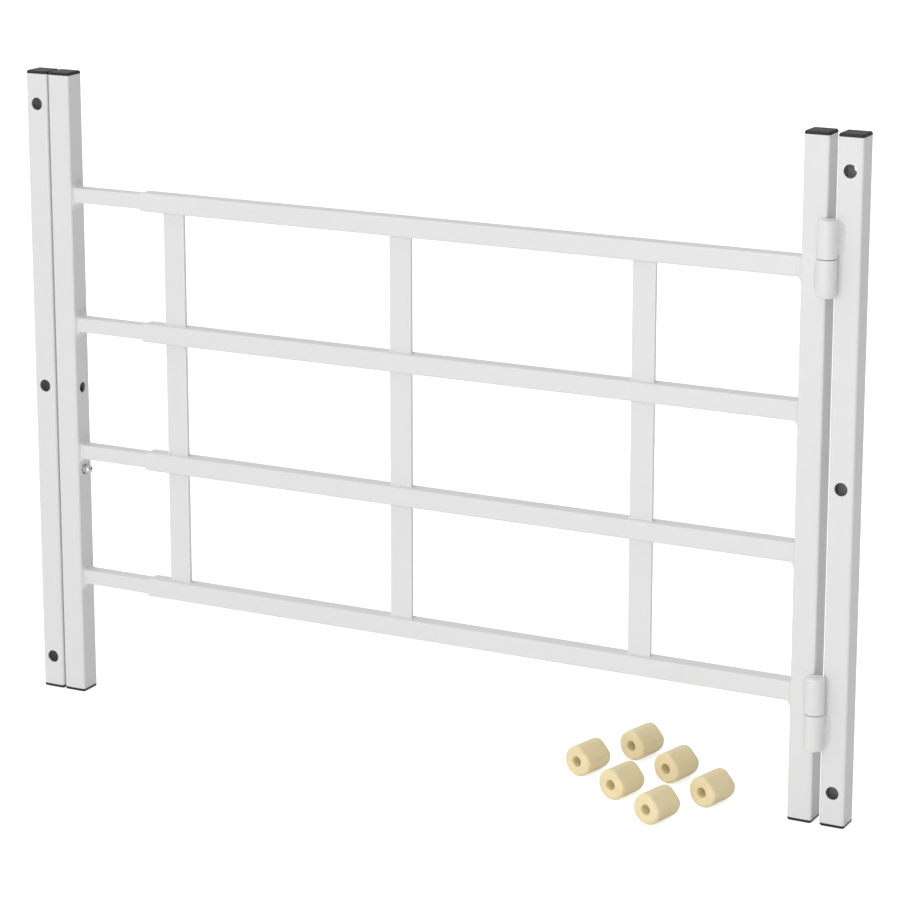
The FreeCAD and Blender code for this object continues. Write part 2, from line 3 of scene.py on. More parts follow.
import bpy
import numpy as np
from bpy.props import FloatProperty, FloatVectorProperty, PointerProperty
from mathutils import Euler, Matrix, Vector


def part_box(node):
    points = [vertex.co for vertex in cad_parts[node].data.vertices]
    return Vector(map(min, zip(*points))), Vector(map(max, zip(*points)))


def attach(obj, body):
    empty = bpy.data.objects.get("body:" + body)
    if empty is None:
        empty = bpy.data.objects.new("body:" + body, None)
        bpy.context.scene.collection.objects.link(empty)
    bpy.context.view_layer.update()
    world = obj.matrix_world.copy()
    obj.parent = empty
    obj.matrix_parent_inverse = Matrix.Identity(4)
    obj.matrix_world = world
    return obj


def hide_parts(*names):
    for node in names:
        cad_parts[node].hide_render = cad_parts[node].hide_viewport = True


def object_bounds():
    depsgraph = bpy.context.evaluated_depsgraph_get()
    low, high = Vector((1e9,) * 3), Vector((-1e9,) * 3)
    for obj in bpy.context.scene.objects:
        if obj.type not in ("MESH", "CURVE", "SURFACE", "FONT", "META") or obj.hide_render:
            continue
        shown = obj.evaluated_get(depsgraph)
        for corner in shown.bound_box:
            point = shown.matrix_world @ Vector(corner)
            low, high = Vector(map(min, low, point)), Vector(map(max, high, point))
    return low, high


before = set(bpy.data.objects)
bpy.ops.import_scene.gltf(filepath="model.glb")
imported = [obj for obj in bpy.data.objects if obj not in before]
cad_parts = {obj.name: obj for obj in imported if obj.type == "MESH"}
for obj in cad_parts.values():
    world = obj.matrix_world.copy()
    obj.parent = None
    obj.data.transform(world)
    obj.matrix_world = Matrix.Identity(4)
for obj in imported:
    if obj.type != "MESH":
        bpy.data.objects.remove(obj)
CAD_LOW, CAD_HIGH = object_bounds()

bl_info = {
    "name": "Window Guard Finish",
    "version": (1, 0, 0),
    "blender": (4, 5, 0),
    "location": "View3D > Sidebar > Window Guard",
    "description": "Paint, welds, caps, hinges, latch, spacers and stage of a telescoping window guard",
    "category": "Object",
}

MM = 0.001
POST_BODIES = {
    "right_jamb": "right_jamb",
    "hinge_post": "gate_frame",
    "latch_post": "sliding_frame",
    "left_jamb": "left_jamb",
}
BAR_NUMBERS = (1, 2, 3, 4)
SPACER_NUMBERS = (1, 2, 3, 4, 5, 6)
HINGE_LEVELS = ("upper", "lower")
UPRIGHT_NAMES = [
    "upright_%s_%s" % (column, gap)
    for column in ("left", "centre", "right") for gap in ("top", "middle", "bottom")]

# Corner radii of the steel sections, and the outer bars' wall.
POST_CORNER = 2.2 * MM
OUTER_CORNER = 1.8 * MM
INNER_CORNER = 1.3 * MM
UPRIGHT_CORNER = 0.5 * MM
BAR_WALL = 1.2 * MM

# What a bar's bead takes of the set reaches above, below and beside its bar.
BEAD_SHARES = {"outer": (0.75, 1.0, 1.0), "inner": (1.9, 0.95, 1.9)}


# ---------------------------------------------------------------- places read from the frame

def node_box(name):
    """A CAD node's middle and its half sizes, as two arrays in metres."""
    low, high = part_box(name)
    low, high = np.array(low), np.array(high)
    return (low + high) / 2, (high - low) / 2


def post_node(name):
    """The tube's node name for a post."""
    return name if name.endswith("_post") else name + "_post"


FLOOR_Z = CAD_LOW[2]
POST_FRONT_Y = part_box("hinge_post")[0][1]


# ---------------------------------------------------------------- the guard's own settings

class GuardFinish(bpy.types.PropertyGroup):
    """Colours and surface of the guard's finishes."""

    coat_colour: FloatVectorProperty(
        name="Coat Colour", description="White powder coat", subtype="COLOR",
        size=3, min=0, max=1, default=(0.80, 0.80, 0.80))
    coat_roughness: FloatProperty(
        name="Coat Roughness", description="How matt the coat is", default=0.30,
        min=0.05, max=1, subtype="FACTOR")
    peel_size: FloatProperty(
        name="Peel Size", description="Width of one orange-peel dimple", default=2.2 * MM,
        min=0.2 * MM, unit="LENGTH")
    peel_depth: FloatProperty(
        name="Peel Depth", description="Depth of the orange peel", default=0.035 * MM,
        min=0, unit="LENGTH", precision=5)
    bare_colour: FloatVectorProperty(
        name="Bare Tube Colour", description="Uncoated steel inside the posts", subtype="COLOR",
        size=3, min=0, max=1, default=(0.50, 0.50, 0.51))
    cap_colour: FloatVectorProperty(
        name="Cap Colour", description="Black plastic of the end caps", subtype="COLOR",
        size=3, min=0, max=1, default=(0.012, 0.012, 0.0125))
    nylon_colour: FloatVectorProperty(
        name="Nylon Colour", description="Natural nylon of the wall spacers", subtype="COLOR",
        size=3, min=0, max=1, default=(0.92, 0.785, 0.48))


class GuardWelds(bpy.types.PropertyGroup):
    """Sizes of the smooth, painted-over weld beads."""

    reach_below: FloatProperty(
        name="Reach Below", description="How far a bar's bead runs down the post",
        default=7.2 * MM, min=0, unit="LENGTH")
    reach_above: FloatProperty(
        name="Reach Above", description="How far a bar's bead runs up the post",
        default=3.6 * MM, min=0, unit="LENGTH")
    reach_beside: FloatProperty(
        name="Reach Beside", description="How far a bar's bead runs across the post's face",
        default=1.9 * MM, min=0, unit="LENGTH")
    along_bar: FloatProperty(
        name="Along Bar", description="How far a bead runs out along its bar",
        default=4.6 * MM, min=0, unit="LENGTH")
    upright_leg: FloatProperty(
        name="Upright Leg", description="Leg of the beads at the uprights' ends",
        default=2.0 * MM, min=0, unit="LENGTH")
    gate_hinge_leg: FloatProperty(
        name="Gate Hinge Leg", description="Reach of the hinge beads over the hinge post",
        default=5.0 * MM, min=0, unit="LENGTH")
    jamb_hinge_leg: FloatProperty(
        name="Jamb Hinge Leg", description="Reach of the hinge beads over the right jamb",
        default=3.4 * MM, min=0, unit="LENGTH")
    ripple_pitch: FloatProperty(
        name="Ripple Pitch", description="Spacing of the weld's ripples",
        default=2.6 * MM, min=0.5 * MM, unit="LENGTH")
    ripple_depth: FloatProperty(
        name="Ripple Depth", description="Height of the ripples left under the coat",
        default=0.10 * MM, min=0, unit="LENGTH", precision=5)


class GuardSpacer(bpy.types.PropertyGroup):
    """Sizes of one moulded wall spacer."""

    hole_radius: FloatProperty(
        name="Hole Radius", description="Radius of the screw hole", default=4.2 * MM,
        min=0.5 * MM, unit="LENGTH")
    flat_distance: FloatProperty(
        name="Flat Distance", description="From the spacer's axis to its flat",
        default=10.9 * MM, min=5 * MM, unit="LENGTH")
    length: FloatProperty(
        name="Length", description="Length of the spacer along its axis",
        default=31.5 * MM, min=5 * MM, unit="LENGTH")
    rim_round: FloatProperty(
        name="Rim Round", description="Radius of the soft end edges", default=3.2 * MM,
        min=0.2 * MM, unit="LENGTH")
    flat_angle: FloatProperty(
        name="Flat Angle", description="Direction the flat faces, up from the right",
        default=math.radians(45), subtype="ANGLE")
    turn: FloatProperty(
        name="Turn", description="Turn of the spacer's axis about the vertical",
        default=math.radians(-13.2), subtype="ANGLE")


class GuardStage(bpy.types.PropertyGroup):
    """Floor, light and camera."""

    floor_colour: FloatVectorProperty(
        name="Floor Colour", description="Plain pale floor", subtype="COLOR",
        size=3, min=0, max=1, default=(0.90, 0.90, 0.90))
    floor_glow: FloatProperty(
        name="Floor Glow", description="Light added to the floor so that it reads as white",
        default=0.60, min=0)
    room_left: FloatProperty(
        name="Room Left", description="Brightness of the soft light from the left",
        default=0.74, min=0)
    room_right: FloatProperty(
        name="Room Right", description="Brightness of the soft light from the right",
        default=0.0, min=0)
    room_above: FloatProperty(
        name="Room Above", description="Brightness added straight overhead",
        default=0.62, min=0)
    floor_return: FloatProperty(
        name="Floor Return", description="Share of light that the floor throws back up",
        default=0.90, min=0, max=1)
    key_power: FloatProperty(
        name="Key Power", description="Soft box in front of the guard", default=130.0,
        min=0, unit="POWER")
    top_power: FloatProperty(
        name="Top Power", description="Soft box overhead", default=4.0, min=0, unit="POWER")
    lens: FloatProperty(
        name="Lens", description="Focal length in millimetres", default=126.8, min=10)
    camera_place: FloatVectorProperty(
        name="Camera Place", description="Where the camera stands", subtype="XYZ",
        size=3, unit="LENGTH", default=(0.8118, -2.2424, 0.6535))
    camera_yaw: FloatProperty(
        name="Camera Yaw", description="Turn to the left of straight ahead",
        default=math.radians(27.36), subtype="ANGLE")
    camera_pitch: FloatProperty(
        name="Camera Pitch", description="Tilt down from level",
        default=math.radians(13.22), subtype="ANGLE")
    camera_shift: FloatProperty(
        name="Camera Shift", description="Vertical shift of the lens", default=-0.10)


# ---------------------------------------------------------------- grids and meshes

def section_path(half_wide, half_high, corner, count):
    """Feet and outward normals at even steps round a rectangle with rounded corners.

    Walking distance s runs along a flat, then round a quarter circle, four times. On a
    flat the foot slides between the corner centres and the normal stays square to it; on
    a corner the foot stays and the normal turns by s / corner. A section that stands
    any offset outside the rectangle is foot + normal * (corner + offset).
    """
    wide, high = 2 * (half_wide - corner), 2 * (half_high - corner)
    arc = math.pi / 2 * corner
    flats = np.array([wide, high, wide, high])
    starts = np.concatenate([[0.0], np.cumsum(flats + arc)])
    s = np.arange(count) / count * starts[-1]
    k = np.clip(np.searchsorted(starts, s, side="right") - 1, 0, 3)
    local = s - starts[k]
    along = np.minimum(local, flats[k]) / flats[k]
    turn = np.clip(local - flats[k], 0, arc) / corner
    corners = np.array([
        [-wide, -high], [wide, -high], [wide, high], [-wide, high], [-wide, -high]]) / 2
    foot = corners[k] + (corners[k + 1] - corners[k]) * along[:, None]
    angle = -math.pi / 2 + k * math.pi / 2 + turn
    return foot, np.stack([np.cos(angle), np.sin(angle)], 1), s


def closed_grid(points, loop):
    """Vertices and faces of a closed shell from a grid points[row, round].

    The grid closes on itself round each row. With loop, the last row joins the first;
    without it, each end is closed by triangles to a pole at that row's middle.
    """
    rows, around = points.shape[:2]
    vertices = points.reshape(-1, 3)
    row_count = rows if loop else rows - 1
    i = np.arange(row_count)[:, None] * around
    above = (np.arange(1, row_count + 1)[:, None] % rows) * around
    j = np.arange(around)[None, :]
    after = (j + 1) % around
    quads = np.stack([i + j, i + after, above + after, above + j], -1).reshape(-1, 4)
    if loop:
        return vertices, quads, np.zeros((0, 3), int)
    poles = np.stack([points[0].mean(0), points[-1].mean(0)])
    vertices = np.concatenate([vertices, poles])
    first, last = rows * around, rows * around + 1
    j, after = j[0], after[0]
    ends = (rows - 1) * around
    low = np.stack([np.full(around, first), after, j], 1)
    high = np.stack([np.full(around, last), ends + j, ends + after], 1)
    return vertices, quads, np.concatenate([low, high])


def grid_points(x, y, z):
    """Points of a grid from their three coordinates, each spread over the whole grid."""
    return np.stack(np.broadcast_arrays(x, y, z), -1)


def outward(shell):
    """The same shell with its faces turned outwards, by the sign of its enclosed volume."""
    vertices, quads, triangles = shell
    every = np.concatenate([quads[:, [0, 1, 2]], quads[:, [0, 2, 3]], triangles])
    a, b, c = (vertices[every[:, n]] for n in range(3))
    if np.einsum("ij,ij->i", a - vertices.mean(0), np.cross(b - a, c - a)).sum() < 0:
        return vertices, quads[:, ::-1], triangles[:, ::-1]
    return shell


def make_piece(name, shells, material, body, stands_for):
    """One smooth mesh object made from closed shells, riding on its body."""
    vertices, loops, sizes, first = [], [], [], 0
    for shell in shells:
        points, quads, triangles = outward(shell)
        vertices.append(points)
        loops += [quads.ravel() + first, triangles.ravel() + first]
        sizes += [np.full(len(quads), 4), np.full(len(triangles), 3)]
        first += len(points)
    vertices, loops, sizes = (np.concatenate(part) for part in (vertices, loops, sizes))
    mesh = bpy.data.meshes.new(name)
    mesh.vertices.add(len(vertices))
    mesh.vertices.foreach_set("co", vertices.astype(np.float32).ravel())
    mesh.loops.add(len(loops))
    mesh.loops.foreach_set("vertex_index", loops.astype(np.int32))
    mesh.polygons.add(len(sizes))
    starts = np.concatenate([[0], np.cumsum(sizes)[:-1]])
    mesh.polygons.foreach_set("loop_start", starts.astype(np.int32))
    mesh.polygons.foreach_set("use_smooth", np.ones(len(sizes), bool))
    mesh.update(calc_edges=True)
    if mesh.validate():
        raise RuntimeError("%s has faulty faces" % name)
    mesh.materials.append(material)
    piece = bpy.data.objects.new(name, mesh)
    bpy.context.scene.collection.objects.link(piece)
    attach(piece, body)
    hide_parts(*stands_for)


# ---------------------------------------------------------------- shader building

def put(tree, kind, values=None, **settings):
    """A new node with its settings, and its inputs given as numbers or as sockets to join."""
    item = tree.nodes.new(kind)
    for key, value in settings.items():
        setattr(item, key, value)
    for key, value in (values or {}).items():
        if isinstance(value, bpy.types.NodeSocket):
            tree.links.new(value, item.inputs[key])
        else:
            item.inputs[key].default_value = value
    return item


def new_group(name, inputs, outputs):
    """A shader node group with named sockets; gives the group, its inputs and its output node."""
    group = bpy.data.node_groups.new(name, "ShaderNodeTree")
    for label, kind, value in inputs:
        socket = group.interface.new_socket(label, in_out="INPUT", socket_type=kind)
        socket.default_value = value
    for label, kind in outputs:
        group.interface.new_socket(label, in_out="OUTPUT", socket_type=kind)
    entry = group.nodes.new("NodeGroupInput")
    return group, entry, group.nodes.new("NodeGroupOutput")


def drift_group():
    """Slow, cloudy drift between two values, such as gloss or tone over a coated surface."""
    if "slow_drift" in bpy.data.node_groups:
        return bpy.data.node_groups["slow_drift"]
    group, entry, out = new_group(
        "slow_drift",
        (("Scale", "NodeSocketFloat", 20.0), ("Low", "NodeSocketFloat", 0.0),
         ("High", "NodeSocketFloat", 1.0)),
        (("Value", "NodeSocketFloat"),))
    place = put(group, "ShaderNodeTexCoord")
    cloud = put(group, "ShaderNodeTexNoise", {
        "Vector": place.outputs["Object"], "Scale": entry.outputs["Scale"],
        "Detail": 3.0, "Roughness": 0.55})
    spread = put(group, "ShaderNodeMapRange", {
        "Value": cloud.outputs["Fac"], "From Min": 0.2, "From Max": 0.8,
        "To Min": entry.outputs["Low"], "To Max": entry.outputs["High"]})
    group.links.new(spread.outputs["Result"], out.inputs["Value"])
    return group


def relief_group():
    """Height of an orange-peel skin: soft dimples of one size with finer ones on them."""
    if "skin_relief" in bpy.data.node_groups:
        return bpy.data.node_groups["skin_relief"]
    group, entry, out = new_group(
        "skin_relief",
        (("Scale", "NodeSocketFloat", 450.0), ("Fine Share", "NodeSocketFloat", 0.3)),
        (("Height", "NodeSocketFloat"),))
    place = put(group, "ShaderNodeTexCoord")
    dimples = put(group, "ShaderNodeTexNoise", {
        "Vector": place.outputs["Object"], "Scale": entry.outputs["Scale"],
        "Detail": 1.0, "Roughness": 0.4})
    finer = put(group, "ShaderNodeMath", {0: entry.outputs["Scale"], 1: 3.1}, operation="MULTIPLY")
    grains = put(group, "ShaderNodeTexNoise", {
        "Vector": place.outputs["Object"], "Scale": finer.outputs[0], "Detail": 2.0})
    share = put(group, "ShaderNodeMath", {
        0: grains.outputs["Fac"], 1: entry.outputs["Fine Share"]}, operation="MULTIPLY")
    total = put(group, "ShaderNodeMath", {
        0: dimples.outputs["Fac"], 1: share.outputs[0]}, operation="ADD")
    group.links.new(total.outputs[0], out.inputs["Height"])
    return group


def tint_group():
    """A colour made a little lighter and darker in clouds, with sparse fine specks."""
    if "tinted_clouds" in bpy.data.node_groups:
        return bpy.data.node_groups["tinted_clouds"]
    group, entry, out = new_group(
        "tinted_clouds",
        (("Colour", "NodeSocketColor", (0.8, 0.8, 0.8, 1)), ("Cloud Scale", "NodeSocketFloat", 14.0),
         ("Cloud Amount", "NodeSocketFloat", 0.03), ("Speck Scale", "NodeSocketFloat", 900.0),
         ("Speck Amount", "NodeSocketFloat", 0.03)),
        (("Colour", "NodeSocketColor"),))
    place = put(group, "ShaderNodeTexCoord")
    cloud = put(group, "ShaderNodeTexNoise", {
        "Vector": place.outputs["Object"], "Scale": entry.outputs["Cloud Scale"],
        "Detail": 4.0, "Roughness": 0.6})
    centred = put(group, "ShaderNodeMath", {0: cloud.outputs["Fac"], 1: 0.5}, operation="SUBTRACT")
    swing = put(group, "ShaderNodeMath", {
        0: centred.outputs[0], 1: entry.outputs["Cloud Amount"]}, operation="MULTIPLY")
    grain = put(group, "ShaderNodeTexNoise", {
        "Vector": place.outputs["Object"], "Scale": entry.outputs["Speck Scale"], "Detail": 1.0})
    sparse = put(group, "ShaderNodeMapRange", {
        "Value": grain.outputs["Fac"], "From Min": 0.62, "From Max": 0.74,
        "To Min": 0.0, "To Max": 1.0})
    specks = put(group, "ShaderNodeMath", {
        0: sparse.outputs["Result"], 1: entry.outputs["Speck Amount"]}, operation="MULTIPLY")
    lift = put(group, "ShaderNodeMath", {0: swing.outputs[0], 1: 1.0}, operation="ADD")
    level = put(group, "ShaderNodeMath", {
        0: lift.outputs[0], 1: specks.outputs[0]}, operation="SUBTRACT")
    shade = put(group, "ShaderNodeVectorMath", {
        0: entry.outputs["Colour"], "Scale": level.outputs[0]}, operation="SCALE")
    group.links.new(shade.outputs["Vector"], out.inputs["Colour"])
    return group


def inside_group():
    """Mask that is 1 inside an upright square tube: where the farther of the two sideways
    distances from the tube's centre line is less than the given half width."""
    if "tube_inside" in bpy.data.node_groups:
        return bpy.data.node_groups["tube_inside"]
    group, entry, out = new_group(
        "tube_inside",
        (("Centre X", "NodeSocketFloat", 0.0), ("Centre Y", "NodeSocketFloat", 0.0),
         ("Half Width", "NodeSocketFloat", 0.009)),
        (("Mask", "NodeSocketFloat"),))
    place = put(group, "ShaderNodeTexCoord")
    axes = put(group, "ShaderNodeSeparateXYZ", {"Vector": place.outputs["Object"]})
    aside = []
    for axis in ("X", "Y"):
        apart = put(group, "ShaderNodeMath", {
            0: axes.outputs[axis], 1: entry.outputs["Centre " + axis]}, operation="SUBTRACT")
        aside.append(put(group, "ShaderNodeMath", {0: apart.outputs[0]}, operation="ABSOLUTE"))
    farther = put(group, "ShaderNodeMath", {
        0: aside[0].outputs[0], 1: aside[1].outputs[0]}, operation="MAXIMUM")
    inside = put(group, "ShaderNodeMath", {
        0: farther.outputs[0], 1: entry.outputs["Half Width"]}, operation="LESS_THAN")
    group.links.new(inside.outputs[0], out.inputs["Mask"])
    return group


def use_group(tree, group, values):
    """A group placed in a material with its own values."""
    return put(tree, "ShaderNodeGroup", values, node_tree=group)


def new_material(name, constants):
    """An empty material with a Principled BSDF whose constants stand on its own sockets."""
    material = bpy.data.materials.new(name)
    material.use_nodes = True
    tree = material.node_tree
    shader = tree.nodes["Principled BSDF"]
    for key, value in constants.items():
        shader.inputs[key].default_value = value
    return material, tree, shader


def surface(name, colour, rough, constants, cloud, relief, depth, speck=(900.0, 0.03), spread=0.05):
    """A finish: clouded colour, drifting roughness and a fine relief in the normal.

    cloud and speck are the scale and the amount of the colour's clouds and specks,
    relief is the dimples' scale and the share of finer ones, depth is the dimples' depth,
    and the roughness drifts by spread to either side of rough.
    """
    material, tree, shader = new_material(name, constants)
    tone = use_group(tree, tint_group(), {
        "Colour": (*colour, 1), "Cloud Scale": cloud[0], "Cloud Amount": cloud[1],
        "Speck Scale": speck[0], "Speck Amount": speck[1]})
    gloss = use_group(tree, drift_group(), {
        "Scale": 18.0, "Low": rough - spread, "High": rough + spread})
    skin = use_group(tree, relief_group(), {"Scale": relief[0], "Fine Share": relief[1]})
    bump = put(tree, "ShaderNodeBump", {
        "Strength": 1.0, "Distance": depth, "Height": skin.outputs["Height"]})
    tree.links.new(tone.outputs["Colour"], shader.inputs["Base Color"])
    tree.links.new(gloss.outputs["Value"], shader.inputs["Roughness"])
    tree.links.new(bump.outputs["Normal"], shader.inputs["Normal"])
    return material


def powder_coat(name, post=None):
    """White powder coat; with a post, the inside of its tube is bare dark steel."""
    finish = bpy.context.scene.guard_finish
    material = surface(
        name, finish.coat_colour, finish.coat_roughness,
        {"IOR": 1.5, "Coat Weight": 0.25, "Coat Roughness": 0.12},
        cloud=(9.0, 0.025), relief=(1 / finish.peel_size, 0.25), depth=finish.peel_depth,
        spread=0.03)
    if post is None:
        return material
    tree = material.node_tree
    shader = tree.nodes["Principled BSDF"]
    middle, half = node_box(post_node(post))
    within_wall = 1.0 * MM
    mask = use_group(tree, inside_group(), {
        "Centre X": middle[0], "Centre Y": middle[1], "Half Width": half[0] - within_wall})
    bare_steel = (("Base Color", "RGBA", (*finish.bare_colour, 1)), ("Roughness", "FLOAT", 0.55))
    for label, kind, bare in bare_steel:
        coated = shader.inputs[label].links[0].from_socket
        mix = put(tree, "ShaderNodeMix", data_type=kind)
        share, outside, inside = (socket for socket in mix.inputs if socket.enabled)
        tree.links.new(mask.outputs["Mask"], share)
        tree.links.new(coated, outside)
        inside.default_value = bare
        result = next(socket for socket in mix.outputs if socket.enabled)
        tree.links.new(result, shader.inputs[label])
    return material


def plain_steel(name, colour, rough):
    """Uncoated steel with a fine grain."""
    return surface(
        name, colour, rough, {"Metallic": 1.0},
        cloud=(90.0, 0.15), speck=(1500.0, 0.2), relief=(1400.0, 0.5), depth=0.008 * MM)


def paint(nodes, material):
    """Gives CAD nodes one material in place of their own."""
    for name in nodes:
        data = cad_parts[name].data
        data.materials.clear()
        data.materials.append(material)


# ---------------------------------------------------------------- welds

def bead(across, centre, face, side, half, corner, reach, along, post=None, seed=0):
    """A closed weld bead round a bar that leaves a face.

    Round the bar's section, the outer skin runs from the face to the bar on a hollow
    curve: its offset from the bar is reach * (1 - sin t) and its distance from the face
    is along * (1 - cos t), t from 0 to a quarter turn. Reach and along are given above,
    below and beside the bar and change smoothly with the section's normal. Both swell
    and thin by slow sine waves round the bar, ripples of the welding pitch ride on the
    middle of the curve, and the shell closes inside the metal. post gives the half size
    and corner of the tube that the face belongs to, so that the bead follows its corner.
    """
    welds = bpy.context.scene.guard_welds
    foot, normal, walked = section_path(half[0], half[1], corner, 264)
    up = np.clip(normal[:, 1], 0, 1) ** 2
    down = np.clip(-normal[:, 1], 0, 1) ** 2
    beside = 1 - up - down
    legs = reach[0] * up + reach[1] * down + reach[2] * beside
    runs = along[0] * up + along[1] * down + along[2] * beside
    swell = 1 + 0.06 * np.sin(walked / (7.3 * MM) + seed)
    swell += 0.04 * np.sin(walked / (3.1 * MM) + 2 * seed)
    t = np.linspace(0, math.pi / 2, 12)[:, None]
    wave = np.sin(2 * math.pi * walked / welds.ripple_pitch + seed)
    ripple = welds.ripple_depth * np.sin(2 * t) ** 2 * wave
    offset = (legs * swell)[None, :] * (1 - np.sin(t)) + ripple
    away = (runs * swell)[None, :] * (1 - np.cos(t)) + ripple
    sunk = 0.3 * MM
    buried = np.full((1, len(walked)), -sunk)
    offset = np.concatenate([offset, buried, buried, offset[:1]])
    away = np.concatenate([away, away[-1:], 2 * buried, 2 * buried])
    section = foot[None] + normal[None] * (corner + offset)[:, :, None]
    wide, high = section[..., 0], section[..., 1]
    if post is not None:
        size, rounded = post
        rim = 0.25 * MM
        wide = np.clip(wide, rim - size, size - rim)
        past = np.clip(np.abs(wide) - (size - rounded), 0, rounded * 0.98)
        fall = rounded - np.sqrt(rounded ** 2 - past ** 2)
        away = away - fall * np.clip(offset / legs[None], 0, 1)
    if across == "X":
        points = grid_points(face + side * away, centre[0] + wide, centre[1] + high)
    else:
        points = grid_points(centre[0] + wide, centre[1] + high, face + side * away)
    return closed_grid(points, loop=True)


def bar_beads(kind, corner, post_name, side):
    """Four beads, one for each bar, on the face of the post that the bars leave."""
    welds = bpy.context.scene.guard_welds
    post_middle, post_half = node_box(post_name)
    above, below, beside = BEAD_SHARES[kind]
    reach = (welds.reach_above * above, welds.reach_below * below, welds.reach_beside * beside)
    along = (welds.along_bar * 0.75, welds.along_bar, welds.along_bar * 0.8)
    shells = []
    for number in BAR_NUMBERS:
        middle, half = node_box("%s_bar_%d" % (kind, number))
        shells.append(bead(
            "X", (post_middle[1], middle[2]), post_middle[0] + side * post_half[0], side,
            (half[2], half[2]), corner, reach, along,
            post=(post_half[0], POST_CORNER), seed=number * 1.7))
    return shells


def upright_beads():
    """Beads at both ends of the nine uprights, on the flats of the bars they stand on."""
    leg = bpy.context.scene.guard_welds.upright_leg
    shells = []
    for index, name in enumerate(UPRIGHT_NAMES):
        middle, half = node_box(name)
        for side in (-1, 1):
            shells.append(bead(
                "Z", (middle[0], middle[1]), middle[2] + side * half[2], -side,
                (half[0], half[1]), UPRIGHT_CORNER, (leg * 1.3, leg * 1.3, leg * 0.8),
                (leg * 1.1, leg * 1.1, leg * 0.8), seed=index // 3 * 3.1 + index % 3 * 1.3 + side))
    return shells


def hinge_bead(knuckle, side, leg, seed):
    """A closed bead along a knuckle, in the corner between its barrel and the post.

    Its section runs from the toe on the post's face, on a hollow quadratic curve, to the
    barrel just before its widest line, and back inside the metal. Along the knuckle the
    section grows out of its root and dies back into it as the arch (1 - s^4) ^ 1/2, with
    s from -1 to 1, and a faint ripple of the welding pitch rides on it.
    """
    welds = bpy.context.scene.guard_welds
    middle, half = node_box(knuckle)
    radius = half[0]
    face = POST_FRONT_Y
    inside_barrel = side * radius * 0.62
    end_margin = 0.6 * MM
    root = np.array([inside_barrel, face + 0.1 * MM])
    toe = np.array([side * (radius + leg), face])
    bend = np.array([side * (radius + 0.5 * MM), face - 1.2 * MM])
    crest = np.array([side * radius * 0.985, middle[1] - 0.8 * MM])
    t = np.linspace(0, 1, 14)[:, None]
    skin = (1 - t) ** 2 * toe + 2 * t * (1 - t) * bend + t ** 2 * crest
    buried = np.array([
        [side * radius * 0.75, middle[1]],
        [inside_barrel, middle[1] + 2 * MM],
        [inside_barrel, face + 0.5 * MM],
        [side * (radius + leg * 0.9), face + 0.5 * MM],
    ])
    section = np.concatenate([skin, buried])
    s = np.sin(np.linspace(-math.pi / 2, math.pi / 2, 90))
    arch = np.sqrt(np.clip(1 - s ** 4, 0, 1))
    z = middle[2] + s * (half[2] - end_margin)
    ripple = 1 + 0.018 * np.sin(2 * math.pi * z / welds.ripple_pitch + seed)
    flat = root + (section - root)[None] * (arch * ripple)[:, None, None]
    points = grid_points(middle[0] + flat[..., 0], flat[..., 1], z[:, None])
    return closed_grid(points, loop=False)


# ---------------------------------------------------------------- moulded and drawn pieces

def drawn_tube(number):
    """An outer bar's square tube with its open end rounded down towards the inner bar.

    Every row is the bar's outline set off by its own amount. Over the nose the offset is
    a quarter ellipse, falling by nose_fall over nose_length. The bore lies one wall inside
    the outline from end to end, and its mouth meets the fallen nose.
    """
    middle, half = node_box("outer_bar_%d" % number)
    foot, normal, _ = section_path(half[1], half[2], OUTER_CORNER, 192)
    mouth, end = middle[0] - half[0], middle[0] + half[0]
    turn = np.linspace(0, math.pi / 2, 9)[::-1]
    nose_fall, nose_length = 1.05 * MM, 2.4 * MM
    nose = np.stack([
        mouth + nose_length * (1 - np.sin(turn)), -nose_fall * (1 - np.cos(turn))], 1)
    straight = np.array([
        (mouth + 2.6 * MM, 0), (mouth + 4 * MM, 0), (end - 1 * MM, 0), (end - 0.1 * MM, 0),
        (end, -0.1 * MM), (end, -BAR_WALL), (mouth + 4 * MM, -BAR_WALL),
        (mouth + 0.3 * MM, -BAR_WALL), (mouth, -BAR_WALL + 0.04 * MM),
    ])
    x, offset = np.concatenate([nose, straight]).T
    section = foot[None] + normal[None] * (OUTER_CORNER + offset)[:, None, None]
    points = grid_points(x[:, None], middle[1] + section[..., 0], middle[2] + section[..., 1])
    return closed_grid(points, loop=True)


def cap_shell(post, top):
    """A moulded cap: a plug, a head with a bevelled, softened rim and a shallow dish on top.

    Every row is the post's outline scaled about its middle and set off inwards:
    scale * (foot + normal * (corner + offset)) at its own height above the tube's end.
    """
    name = "%s_cap_%s" % (post, "top" if top else "bottom")
    middle, half = node_box(name)
    away = 1 if top else -1
    foot, normal, _ = section_path(half[0], half[1], POST_CORNER, 120)
    # Scale, offset and height of each row, the last two in millimetres: plug, rim, bevel, dish.
    rows = np.array([
        (0.60, -1.90, -12.0), (1.00, -1.90, -12.0), (1.00, -1.55, -11.4), (1.00, -1.52, 0.0),
        (1.00, -0.12, 0.0), (1.00, -0.03, 0.08), (1.00, 0.00, 0.25), (1.00, 0.00, 1.45),
        (1.00, -0.04, 1.62), (1.00, -0.14, 1.76), (1.00, -0.72, 2.38), (1.00, -0.86, 2.50),
        (1.00, -1.04, 2.58), (1.00, -1.30, 2.60), (0.94, -1.30, 2.59), (0.80, -1.30, 2.52),
        (0.50, -1.30, 2.47), (0.20, -1.30, 2.45),
    ])
    scale, offset, height = rows[:, 0], rows[:, 1] * MM, rows[:, 2] * MM
    section = foot[None] + normal[None] * (POST_CORNER + offset)[:, None, None]
    section *= scale[:, None, None]
    tube_end = middle[2] + away * (half[2] - height.max())
    points = grid_points(
        middle[0] + section[..., 0], middle[1] + section[..., 1],
        (tube_end + away * height)[:, None])
    return closed_grid(points, loop=False), name


